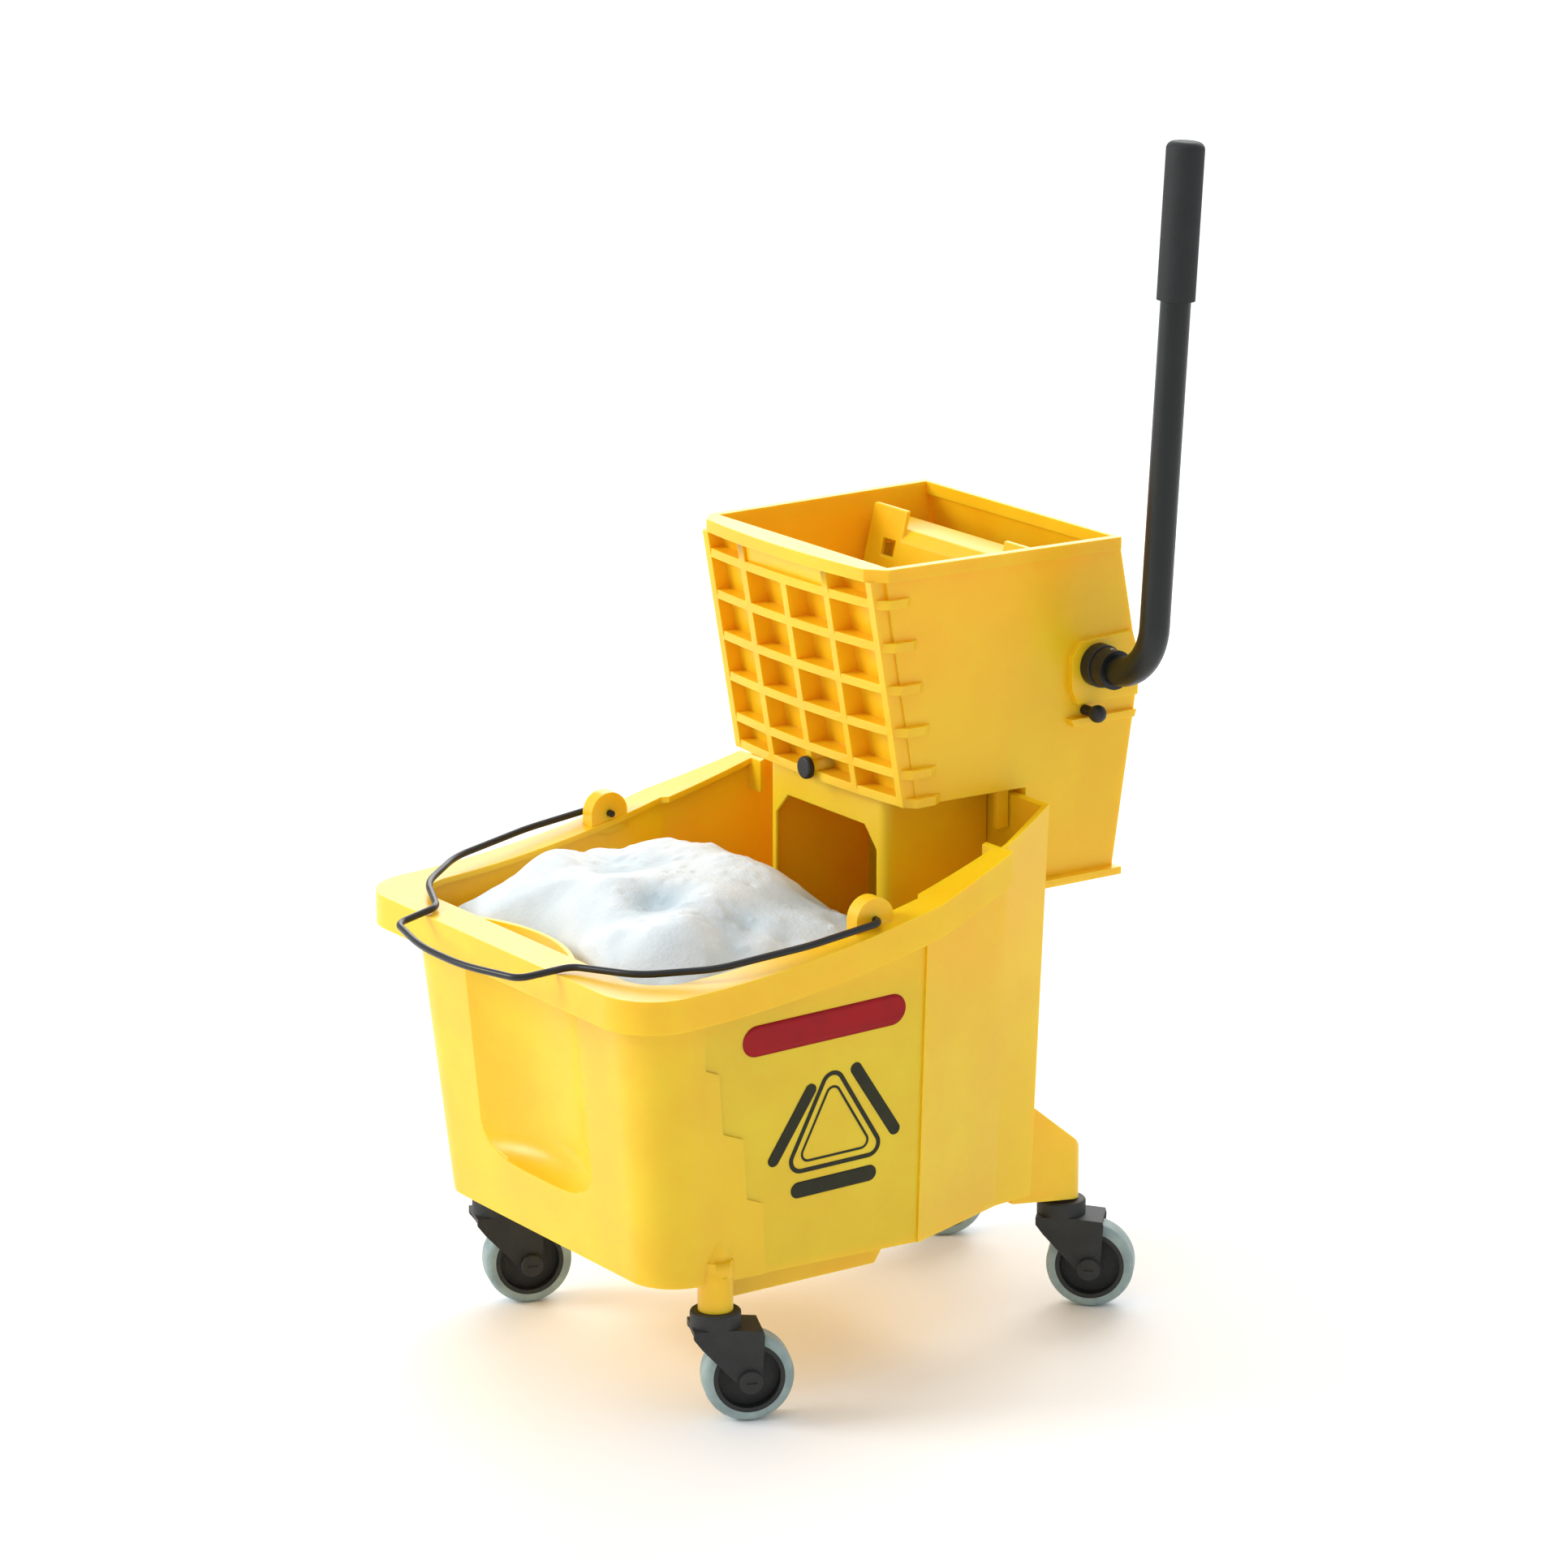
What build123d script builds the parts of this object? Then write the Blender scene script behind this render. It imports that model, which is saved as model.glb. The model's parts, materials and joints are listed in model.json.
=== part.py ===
from build123d import *
import math
import os

# Mop bucket on four swivel casters, with a lever wringer hooked over its rear wall.
# Millimetres. +Z up, the pouring end towards -Y, the lever on the +X side.
# Sections are drawn about the bucket's own middle plane, and everything is moved at the
# end so that the origin is the middle of the whole object's footprint, on the floor.
FOOTPRINT_SHIFT = (-3.4, 23.125, 0.0)

# Casters
WHEEL_R = 35.0
WHEEL_T = 24.0
HUB_R = 27.5
CASTER_TRAIL = 24.0
AXLE_R = 4.0
STEM_R = 5.5
FIT = 0.08
COLLAR_R = 19.5
COLLAR_Z = (76.0, 87.7)
FORK_PLATE = 4.0
FORK_GAP = 14.5
CASTERS = {
    "front_left": (-156.0, -163.0, 70.0),
    "front_right": (156.0, -163.0, 65.0),
    "rear_left": (-100.0, 207.0, 58.0),
    "rear_right": (100.0, 207.0, 48.0),
}

# Bucket
WALL = 4.0
FLOOR_Z = 110.0
TOP_Z = 450.0
KEEL_Z = 88.3
POST_R = 13.5
POST_Z = 88.0
REAR_Y = 150.0
RIM_Z = 353.0
RIM_SWEEP = 0.0005
RIM_FRONT_Y = -250.0
RIM_BAND = 26.0
RIM_END_Y = 92.0
LUG_Y, LUG_Z, LUG_R = -40.0, 381.0, 17.0
LUG_X = (176.0, 189.0)
WIRE_R = 2.75
BAIL_X = 197.0
BAIL_SLOPE = 0.112
SCALLOP_R = 150.0
SCALLOP_HALF = 80.0
SCALLOP_FOOT = 24.0

# Splash baffle inside the bucket, which the wringer stands on
BAFFLE_X, BAFFLE_Y = 79.0, (47.0, 145.6)
BAFFLE_TOP = 437.5
BAFFLE_T = 3.5

# Wringer
BASKET_TOP = 628.0
BASKET_FLOOR = 438.0
RIB_REACH, RIB_CORNER, RIB_T = 121.0, 8.0, 7.0
STUD_Z, STUD_BOSS_R = 447.0, 7.5
SKIRT_Z = 356.0
SHAFT_Y, SHAFT_Z = 214.0, 529.5
SHAFT_R = 9.4
TUBE_R, TUBE_BORE = 11.75, 9.5
TUBE_X = 195.0
TUBE_BEND = 43.0
LEVER_LEAN = 3.4
LEVER_TOP = 943.0
GRIP_R, GRIP_LENGTH = 14.8, 120.0
PAD_X = 128.0
PIN_X = 146.0
PIN_R = 1.6
GEAR_MODULE, GEAR_TEETH = 2.5, 16
PITCH_R = GEAR_MODULE * GEAR_TEETH / 2
GEAR_X, GEAR_W = 70.0, 14.0
# The rack ends within its last tooth's land, so that the end cannot swing into the pinion.
RACK_REAR = 28.5
PLATE_TOP, PLATE_FOOT, PLATE_LEDGE = 621.0, 446.0, 606.0
PLATE_X = 108.0
EAR_WIDTH = 44.0
PLATE_TILT = 0.241
ROD_Y, ROD_Z, ROD_R = 207.0, 493.0, 4.0
SPRING_X, SPRING_R, SPRING_WIRE = 35.0, 6.0, 0.9
RIB_LEVELS = (597.0, 563.0, 529.0, 495.0, 461.0)
RIB_COLUMNS = (-110.0, -56.0, 0.0, 56.0, 110.0)


def block(x, y, z):
    """A box between two values on each axis."""
    size = (x[1] - x[0], y[1] - y[0], z[1] - z[0])
    return Pos((x[0] + x[1]) / 2, (y[0] + y[1]) / 2, (z[0] + z[1]) / 2) * Box(*size)


def side_prism(points, x0, x1):
    """A closed outline in the Y-Z plane, carried along X from x0 to x1."""
    wire = Polyline(*[(x0, y, z) for y, z in points], close=True)
    return extrude(make_face(wire), amount=x1 - x0, dir=(1, 0, 0))


def rod_x(radius, x0, x1, y, z):
    """A round bar along X."""
    return Pos((x0 + x1) / 2, y, z) * Rot(0, 90, 0) * Cylinder(radius, x1 - x0)


def rod_z(radius, x, y, z0, z1):
    """A round bar along Z."""
    return Pos(x, y, (z0 + z1) / 2) * Cylinder(radius, z1 - z0)


def both_sides(shape):
    """A shape and its mirror image across the middle plane."""
    return shape + mirror(shape, about=Plane.YZ)


# ---------------------------------------------------------------- bucket

def tub_outline(z, inset=0.0):
    """The tub's plan at a height: each corner moves evenly from the floor to the rim."""
    t = (z - FLOOR_Z) / 240.0
    front_x, front_y, radius = 158 + 20 * t - inset, -216 - 24 * t + inset, 38 + 7 * t - inset
    middle_x = 173 + 10 * t - inset
    facet_x, facet_y = 138 + 27 * t - inset, 113 - 13 * t
    rear_x, rear_y = 134 + 14 * t - inset, REAR_Y - inset
    half = [(front_x, front_y), (middle_x, 13), (facet_x, facet_y), (rear_x, rear_y)]
    points = half + [(-x, y) for x, y in reversed(half)]
    face = make_face(Polyline(*[(x, y, z) for x, y in points], close=True))
    corners = face.vertices().sort_by(Axis.Y)[:2]
    return fillet(corners, radius)


def tub_solid(z0, z1, inset=0.0):
    """The tub's tapered body between two heights."""
    return loft([tub_outline(z0, inset), tub_outline(z1, inset)], ruled=True)


def rim_height(y):
    """The rim's top edge: level at the front, then sweeping up to the rear as a parabola."""
    return RIM_Z + RIM_SWEEP * (y - RIM_FRONT_Y) ** 2


def under_rim(drop, bottom, y0=-300.0, y1=160.0):
    """All that lies between a level plane and the rim's top edge, lowered by drop."""
    z0, z1 = rim_height(y0) - drop, rim_height(y1) - drop
    slope = 2 * RIM_SWEEP * (y0 - RIM_FRONT_Y)
    middle = (0, (y0 + y1) / 2, z0 + slope * (y1 - y0) / 2)
    curve = Bezier((0, y0, z0), middle, (0, y1, z1))
    rest = Polyline((0, y1, z1), (0, y1, bottom), (0, y0, bottom), (0, y0, z0))
    face = make_face(Curve() + [curve, rest])
    return extrude(face, amount=250, dir=(1, 0, 0), both=True)


def rim_outline(inset=0.0):
    """The rim's outer edge in plan, from the round front corners to the band's ends."""
    half = [(200 - inset, -262 + inset), (203 - inset, 13), (184 - inset, RIM_END_Y)]
    points = half + [(-x, y) for x, y in reversed(half)]
    face = make_face(Polyline(*[(x, y, 300) for x, y in points], close=True))
    return fillet(face.vertices().sort_by(Axis.Y)[:2], 45 - inset)


def rim_opening():
    """The inside edge of the rim's top, which steps inwards behind the bail lugs."""
    half = [(169, -230), (176, 9), (170, 13), (163, RIM_END_Y + 1)]
    points = half + [(-x, y) for x, y in reversed(half)]
    face = make_face(Polyline(*[(x, y, 300) for x, y in points], close=True))
    return fillet(face.vertices().sort_by(Axis.Y)[:2], 38)


def rim(tub):
    """The rim: a flat top with an outer band hanging from it, open underneath."""
    height = TOP_Z - 300
    outer = extrude(rim_outline(), amount=height)
    hollow = extrude(rim_outline(WALL), amount=height)
    opening = extrude(rim_opening(), amount=height)
    top = (outer - opening) & (under_rim(0, 280) - under_rim(5, 270))
    band = (outer - hollow) & (under_rim(0, 280) - under_rim(RIM_BAND, 270))
    end = block((150, 204), (RIM_END_Y - WALL, RIM_END_Y), (320, TOP_Z))
    closed = (outer - tub) & both_sides(end) & (under_rim(0, 280) - under_rim(RIM_BAND, 270))
    return top + band + closed


def scallop(grow=0.0):
    """The hollow down the middle of the front wall, a cylinder that leans with the wall."""
    lean = math.degrees(math.atan(0.1))
    sagitta = math.sqrt(SCALLOP_R ** 2 - SCALLOP_HALF ** 2)
    bar = Pos(0, 0, 130) * Cylinder(SCALLOP_R + grow, 300)
    bar = fillet(bar.edges().filter_by(GeomType.CIRCLE).sort_by(Axis.Z)[0], SCALLOP_FOOT + grow)
    return Pos(0, -220.5 - sagitta, 146 - grow) * Rot(lean, 0, 0) * Pos(0, 0, 20) * bar


def label_panel(tub):
    """The thin recess for the side label, with a stair-stepped front edge."""
    outline = [(-185, 340), (-185, 316), (-183, 284), (-171, 279), (-165, 230), (-147, 223),
               (-142, 174), (-128, 168), (-123, FLOOR_Z - 1), (13, FLOOR_Z - 1), (13, 380)]
    panel = both_sides(side_prism(outline, 120, 230))
    return (tub & panel) - tub_solid(FLOOR_Z, TOP_Z, 2.0)


def caster_mounts():
    """Posts under the front corners and outriggers behind the rear wall."""
    front_x, front_y, _ = CASTERS["front_right"]
    rear_x, rear_y, _ = CASTERS["rear_right"]
    post = rod_z(POST_R, front_x, front_y, POST_Z, 116)
    post += Pos(front_x, front_y, 141) * Cone(POST_R + 1, 4, 50)
    profile = [(REAR_Y - 2, 190), (212, 138), (220, 127), (220, POST_Z), (REAR_Y - 2, 97)]
    arm = side_prism(profile, rear_x - POST_R, rear_x + POST_R)
    around = rod_z(POST_R, rear_x, rear_y, POST_Z, 220)
    arm = arm & (around + block((80, 120), (140, rear_y), (80, 220)))
    return both_sides(post + arm)


def caster_bosses():
    """Sockets for the caster stems, standing inside the tub at the front."""
    front_x, front_y, _ = CASTERS["front_right"]
    return both_sides(rod_z(POST_R, front_x, front_y, POST_Z, 128))


def stem_sockets():
    """The holes that take the four caster stems."""
    holes = [rod_z(STEM_R + FIT, x, y, POST_Z - 1, 123) for x, y, _ in CASTERS.values()]
    return holes[0] + holes[1:]


def keel(inset=0.0):
    """The shallow trough under the middle of the tub."""
    y0, y1 = -176 + inset, 12 - inset
    z0, z1 = KEEL_Z + inset, FLOOR_Z + 5
    profile = [(y0, z1), (y0 + 26, z0), (y1 - 18, z0), (y1, z1)]
    return side_prism(profile, -142 + inset, 142 - inset)


def bail_lugs():
    """Two round-topped ears on the rim that hold the bail."""
    ear = rod_x(LUG_R, LUG_X[0], LUG_X[1], LUG_Y, LUG_Z)
    ear += block(LUG_X, (LUG_Y - LUG_R, LUG_Y + LUG_R), (366, LUG_Z))
    ear -= rod_x(WIRE_R + FIT, LUG_X[0] - 1, LUG_X[1] + 1, LUG_Y, LUG_Z)
    return both_sides(ear)


def bucket_shell():
    """The moulded bucket: tapered tub, rim, lugs, keel and caster mounts."""
    tub = tub_solid(FLOOR_Z, TOP_Z)
    cavity = tub_solid(FLOOR_Z + WALL, TOP_Z + 1, WALL) - scallop(WALL)
    outside = tub - scallop() - label_panel(tub) + keel() + caster_mounts()
    shell = outside - cavity - keel(WALL)
    shell = (shell & under_rim(0, 60, -300, 230)) + caster_bosses()
    shell += rim(tub - cavity)
    shell = shell - stem_sockets()
    return shell + bail_lugs()


def splash_baffle():
    """An open-topped box that the wringer drains into, with an eight-sided front window."""
    x, (y0, y1) = BAFFLE_X, BAFFLE_Y
    z0 = FLOOR_Z + WALL
    outer = block((-x, x), (y0, y1), (z0, BAFFLE_TOP))
    outer = fillet(outer.edges().filter_by(Axis.Z).sort_by(Axis.Y)[:2], 9)
    inner = block((-x + BAFFLE_T, x - BAFFLE_T), (y0 + BAFFLE_T, y1 - BAFFLE_T), (z0 - 1, 500))
    window = [(-68, 300), (-52, 284), (52, 284), (68, 300), (68, 393), (52, 410), (-52, 410), (-68, 393)]
    face = make_face(Polyline(*[(px, y0 - 2, pz) for px, pz in window], close=True))
    return outer - inner - extrude(face, amount=12, dir=(0, 1, 0))


def bail_wire():
    """The carrying wire: two legs, round corners and a hand-hold that stands forward."""
    half = [(172, LUG_Y), (BAIL_X, LUG_Y), (BAIL_X, -105), (184, -180), (150, -226), (96, -250),
            (87, -291), (30, -305)]
    radii = [7, 120, 60, 60, 16, 14, 180]
    points = half + [(-x, y) for x, y in reversed(half)]
    path = [(x, y, LUG_Z + (y - LUG_Y) * BAIL_SLOPE) for x, y in points]
    line = FilletPolyline(*path, radius=radii + radii[::-1])
    return sweep(Plane(origin=line @ 0, z_dir=line % 0) * Circle(WIRE_R), path=line)


# ---------------------------------------------------------------- casters

def placed(shape, x, y, turn):
    """A caster piece, turned to its heading and moved under its post."""
    return Pos(x, y, 0) * Rot(0, 0, turn) * shape


def rod_y(radius, y0, y1, x, z):
    """A round bar along Y."""
    return Pos(x, (y0 + y1) / 2, z) * Rot(90, 0, 0) * Cylinder(radius, y1 - y0)


def caster_stem():
    """A steel stem with a riveted foot that holds the fork up to the post."""
    return rod_z(STEM_R, 0, 0, 67, 122) + rod_z(8, 0, 0, 67, 71.8)


def swivel_collar():
    """The round cover of the swivel bearing."""
    ring = rod_z(COLLAR_R, 0, 0, *COLLAR_Z)
    ring = fillet(ring.edges().sort_by(Axis.Z)[-1], 2.0)
    return ring - rod_z(STEM_R + FIT, 0, 0, 70, 90)


def fork():
    """Two swept-back plates under a deck, with a boss for the stem."""
    outer = FORK_GAP + FORK_PLATE
    profile = [(-19, 76), (-19, 70), (-13, 62), (14, 33), (24, 35), (33, 38), (35, 70), (34, 74), (12, 76)]
    wire = Polyline(*[(x, -outer, z) for x, z in profile], close=True)
    body = extrude(make_face(wire), amount=2 * outer, dir=(0, 1, 0))
    body += rod_y(10, -outer, outer, CASTER_TRAIL, WHEEL_R)
    body -= block((-60, 60), (-FORK_GAP, FORK_GAP), (0, 72))
    body -= rod_z(STEM_R + FIT, 0, 0, 50, 90)
    return body - rod_y(AXLE_R + FIT, -30, 30, CASTER_TRAIL, WHEEL_R)


def wheel_hub():
    """A dished hub with a boss, a thin web and an outer ring."""
    half = WHEEL_T / 2
    hub = rod_y(HUB_R, -half, half, 0, 0)
    dish = rod_y(HUB_R - 3.5, 3.5, half + 1, 0, 0) + rod_y(HUB_R - 3.5, -half - 1, -3.5, 0, 0)
    hub = hub - (dish - rod_y(8.5, -half - 2, half + 2, 0, 0))
    hub -= rod_y(AXLE_R + FIT, -half - 1, half + 1, 0, 0)
    return Pos(CASTER_TRAIL, 0, WHEEL_R) * hub


def tyre():
    """A soft tread ring with round shoulders."""
    ring = rod_y(WHEEL_R, -WHEEL_T / 2, WHEEL_T / 2, 0, 0)
    ring = fillet(ring.edges().filter_by(GeomType.CIRCLE), 5.0)
    ring = ring - rod_y(HUB_R, -WHEEL_T, WHEEL_T, 0, 0)
    return Pos(CASTER_TRAIL, 0, WHEEL_R) * ring


def axle():
    """The wheel's steel axle."""
    reach = FORK_GAP + FORK_PLATE + 2
    return rod_y(AXLE_R, -reach, reach, CASTER_TRAIL, WHEEL_R)


def axle_caps():
    """Two slotted heads that close the axle's ends."""
    inner = FORK_GAP + FORK_PLATE
    cap = rod_y(9, inner, inner + 4.5, CASTER_TRAIL, WHEEL_R)
    cap = fillet(cap.edges().filter_by(GeomType.CIRCLE).sort_by(Axis.Y)[-1], 1.5)
    cap -= rod_y(AXLE_R, 0, inner + 2, CASTER_TRAIL, WHEEL_R)
    x = CASTER_TRAIL
    cap -= block((x - 4, x + 4), (inner + 3.7, inner + 6), (WHEEL_R - 0.8, WHEEL_R + 0.8))
    return cap + mirror(cap, about=Plane.XZ)


# ---------------------------------------------------------------- wringer

def basket_width(z, inset, front=-20.0, back=280.0):
    """The wringer's plan at a height: side walls that spread towards the back."""
    t = (z - BASKET_FLOOR) / (BASKET_TOP - BASKET_FLOOR)
    front_x, back_x = 112 + 3.5 * t - inset, 122 + 5.5 * t - inset
    points = [(front_x, front), (back_x, back), (-back_x, back), (-front_x, front)]
    return make_face(Polyline(*[(x, y, z) for x, y in points], close=True))


def between_walls(inset=0.0):
    """All that lies between the wringer's two side walls."""
    return loft([basket_width(330, inset), basket_width(650, inset)], ruled=True)


def front_face(z):
    """The Y of the basket's front, which leans in towards the bottom."""
    return 7 + (BASKET_TOP - z) * 0.174


def wringer_body():
    """Basket, mechanism housing and the skirt that hangs behind the bucket's rear wall."""
    pocket = 12.0
    outline = [(front_face(BASKET_TOP) + pocket, BASKET_TOP), (235, BASKET_TOP), (258, 518), (238, 360),
               (238, SKIRT_Z), (153.5, SKIRT_Z), (153.5, BASKET_FLOOR),
               (front_face(BASKET_FLOOR) + pocket, BASKET_FLOOR)]
    inside = [(front_face(BASKET_TOP) + pocket + 4, BASKET_TOP + 5), (230.5, BASKET_TOP + 5), (253.5, 518),
              (233.5, 360), (233.5, SKIRT_Z - 1), (157.5, SKIRT_Z - 1), (157.5, BASKET_FLOOR + 4),
              (front_face(BASKET_FLOOR) + pocket + 4, BASKET_FLOOR + 4)]
    outer = side_prism(outline, -150, 150) & between_walls()
    return outer - (side_prism(inside, -150, 150) & between_walls(WALL))


def front_shelf(z, thickness):
    """A level rib across the front, bowed forward, that wraps round both corners and fades into the sides."""
    y, x = front_face(z), RIB_REACH
    radius = RIB_CORNER
    bow = ThreePointArc((-x + radius, y, z), (0, y - 7, z), (x - radius, y, z))
    right = Line((x - radius, y, z), (x, y + radius, z))
    rest = Polyline((x, y + radius, z), (x, y + 25, z), (x - 9, y + 38, z), (-x + 9, y + 38, z),
                    (-x, y + 25, z), (-x, y + radius, z))
    left = Line((-x, y + radius, z), (-x + radius, y, z))
    face = make_face(Curve() + [bow, right, rest, left])
    return extrude(face, amount=thickness)


def rib_grid():
    """The grid of shallow pockets that stiffens the basket's front."""
    shelves = [front_shelf(z, RIB_T) for z in (*RIB_LEVELS, BASKET_FLOOR)]
    grid = shelves[0] + shelves[1:]
    for x in RIB_COLUMNS:
        bow = 6 * (1 - (x / 116) ** 2)
        top = 618 if abs(x) > 20 else RIB_LEVELS[0]
        outline = [(front_face(top) - bow, top), (front_face(top) + 14, top),
                   (front_face(BASKET_FLOOR) + 14, BASKET_FLOOR),
                   (front_face(BASKET_FLOOR) - bow, BASKET_FLOOR)]
        grid += side_prism(outline, x - RIB_T / 2, x + RIB_T / 2)
    cavity = [(front_face(BASKET_TOP) + 16, BASKET_TOP), (300, BASKET_TOP), (300, BASKET_FLOOR + 4),
              (front_face(BASKET_FLOOR) + 16, BASKET_FLOOR + 4)]
    grid -= side_prism(cavity, -150, 150) & between_walls(WALL)
    nameplate = [(front_face(618) - 2, 618), (front_face(618) + 14, 618), (front_face(599) + 14, 599),
                 (front_face(599) - 2, 599)]
    stud_y = front_face(STUD_Z)
    boss = rod_y(STUD_BOSS_R, stud_y - 8.2, stud_y + 14, 0, STUD_Z)
    return grid + side_prism(nameplate, -56, 56) + boss


def rolled_rim():
    """The rounded lip round the basket's mouth."""
    y = front_face(BASKET_TOP)
    bow = ThreePointArc((-106, y, 618), (0, y - 7, 618), (106, y, 618))
    right = Line((106, y, 618), (120.5, y + 13, 618))
    rest = Polyline((120.5, y + 13, 618), (129, 235, 618), (-129, 235, 618), (-120.5, y + 13, 618))
    left = Line((-120.5, y + 13, 618), (-106, y, 618))
    outer = extrude(make_face(Curve() + [bow, right, rest, left]), amount=10)
    mouth_y = front_face(BASKET_TOP) + 16
    mouth = [(mouth_y, 600), (230.5, 600), (230.5, 640), (mouth_y, 640)]
    return outer - (side_prism(mouth, -150, 150) & between_walls(WALL))


def shaft_pads():
    """Raised pads on the side walls round the shaft and the spring rod."""
    outline = [(196, 500), (190, 512), (190, 538), (198, 549), (248, 552), (255, 530), (254, 500)]
    pad = side_prism(outline, 119, PAD_X)
    ledge = [(193, 482), (190, 488), (254, 488), (252, 482)]
    return both_sides(pad + side_prism(ledge, 119, 127))


def drain_slots():
    """Three rows of slots in the basket's floor, above the splash baffle."""
    slots = [block((x - 11, x + 11), (y - 4, y + 4), (430, 450))
             for x in (-56, -28, 0, 28, 56) for y in (76, 96, 116)]
    return slots[0] + slots[1:]


def wringer_shell():
    """The moulded wringer housing."""
    shell = wringer_body() + rib_grid() + rolled_rim() + shaft_pads()
    guide = block((102, 107), (134, 145), (405, BASKET_FLOOR + 1))
    hem = block((-126, 126), (153.5, 242), (SKIRT_Z, SKIRT_Z + 6))
    hem -= block((-117, 117), (157.5, 233.5), (SKIRT_Z - 1, SKIRT_Z + 7))
    shell = shell + both_sides(guide) + hem - drain_slots()
    shell -= rod_x(TUBE_R + 3.6, 100, 140, SHAFT_Y, SHAFT_Z)
    shell -= rod_x(SHAFT_R + 3.6, -140, -100, SHAFT_Y, SHAFT_Z)
    shell -= rod_x(ROD_R, -160, 160, ROD_Y, ROD_Z)
    y = front_face(STUD_Z)
    return shell - Pos(0, y + 2, STUD_Z) * Rot(90, 0, 0) * Cylinder(3.0, 60)


def bushing_right():
    """The flanged plastic bearing that the lever's tube turns in."""
    body = rod_x(17, PAD_X, PAD_X + 10, SHAFT_Y, SHAFT_Z)
    body = fillet(body.edges().filter_by(GeomType.CIRCLE).sort_by(Axis.X)[-1], 1.5)
    body += rod_x(TUBE_R + 3.6, PAD_X - 14, PAD_X, SHAFT_Y, SHAFT_Z)
    return body - rod_x(TUBE_R + FIT, 100, 150, SHAFT_Y, SHAFT_Z)


def bushing_left():
    """The closed bearing at the shaft's far end."""
    body = rod_x(17, -PAD_X - 6, -PAD_X, SHAFT_Y, SHAFT_Z)
    body = fillet(body.edges().filter_by(GeomType.CIRCLE).sort_by(Axis.X)[0], 1.5)
    body += rod_x(SHAFT_R + 3.6, -PAD_X, -PAD_X + 14, SHAFT_Y, SHAFT_Z)
    return body - rod_x(SHAFT_R + FIT, -PAD_X - 3, -100, SHAFT_Y, SHAFT_Z)


def lever_tube():
    """The bent steel tube: along the shaft's axis, then up beside the bucket."""
    up = math.tan(math.radians(LEVER_LEAN))
    top = LEVER_TOP - 10
    start = (118, SHAFT_Y, SHAFT_Z)
    corner = (TUBE_X, SHAFT_Y, SHAFT_Z)
    end = (TUBE_X, SHAFT_Y + (top - SHAFT_Z) * up, top)
    line = FilletPolyline(start, corner, end, radius=TUBE_BEND)
    section = Plane(origin=line @ 0, z_dir=line % 0) * (Circle(TUBE_R) - Circle(TUBE_BORE))
    tube = sweep(section, path=line)
    return tube - rod_z(PIN_R, PIN_X, SHAFT_Y, 500, 560)


def on_lever(shape, height):
    """A piece drawn about the Z axis, set on the lever's tube at a height."""
    up = math.tan(math.radians(LEVER_LEAN))
    place = Pos(TUBE_X, SHAFT_Y + (height - SHAFT_Z) * up, height)
    return place * Rot(-LEVER_LEAN, 0, 0) * shape


def grip():
    """The rubber grip, closed and domed at the top."""
    body = Pos(0, 0, -GRIP_LENGTH / 2) * Cylinder(GRIP_R, GRIP_LENGTH)
    body = fillet(body.edges().sort_by(Axis.Z)[-1], 6.0)
    bore = Pos(0, 0, -GRIP_LENGTH / 2 - 10) * Cylinder(TUBE_R, GRIP_LENGTH)
    return on_lever(body - bore, LEVER_TOP)


def lever_collar():
    """The ring that pins the tube to the shaft, outside the bearing."""
    ring = rod_x(15.5, PAD_X + 10.3, PAD_X + 23.8, SHAFT_Y, SHAFT_Z)
    ring -= rod_x(TUBE_R, 120, 170, SHAFT_Y, SHAFT_Z)
    return ring - rod_z(PIN_R, PIN_X, SHAFT_Y, 500, 560)


def lever_pin():
    """The bright pin through collar, tube and shaft."""
    return rod_z(PIN_R, PIN_X, SHAFT_Y, SHAFT_Z - 15, SHAFT_Z + 16.3)


def drive_shaft():
    """The shaft across the housing that carries the two pinions."""
    shaft = rod_x(SHAFT_R, -PAD_X - 2.7, 151.5, SHAFT_Y, SHAFT_Z)
    return shaft - rod_z(PIN_R, PIN_X, SHAFT_Y, 500, 560)


def pinion_outline():
    """One gear's outline: straight-sided teeth, thinned for backlash."""
    points = []
    root, tip = PITCH_R - 1.3 * GEAR_MODULE, PITCH_R + 0.85 * GEAR_MODULE
    pitch = 360 / GEAR_TEETH
    for k in range(GEAR_TEETH):
        middle = 90 + k * pitch
        for share, radius in ((-0.31, root), (-0.24, PITCH_R - 0.5), (-0.10, tip), (0.10, tip),
                              (0.24, PITCH_R - 0.5), (0.31, root)):
            a = math.radians(middle + share * pitch)
            points.append((radius * math.cos(a), radius * math.sin(a)))
    return points


def pinion(x):
    """A pinion on the drive shaft, with one tooth pointing straight up."""
    face = make_face(Polyline(*[(x - GEAR_W / 2, SHAFT_Y + a, SHAFT_Z + b) for a, b in pinion_outline()],
                              close=True))
    gear = extrude(face, amount=GEAR_W, dir=(1, 0, 0))
    return gear - rod_x(SHAFT_R, x - 20, x + 20, SHAFT_Y, SHAFT_Z)


def plate_face(z):
    """The Y of the press plate's front at a height: it leans forward towards the foot."""
    return 170.6 - (622 - z) * PLATE_TILT


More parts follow.
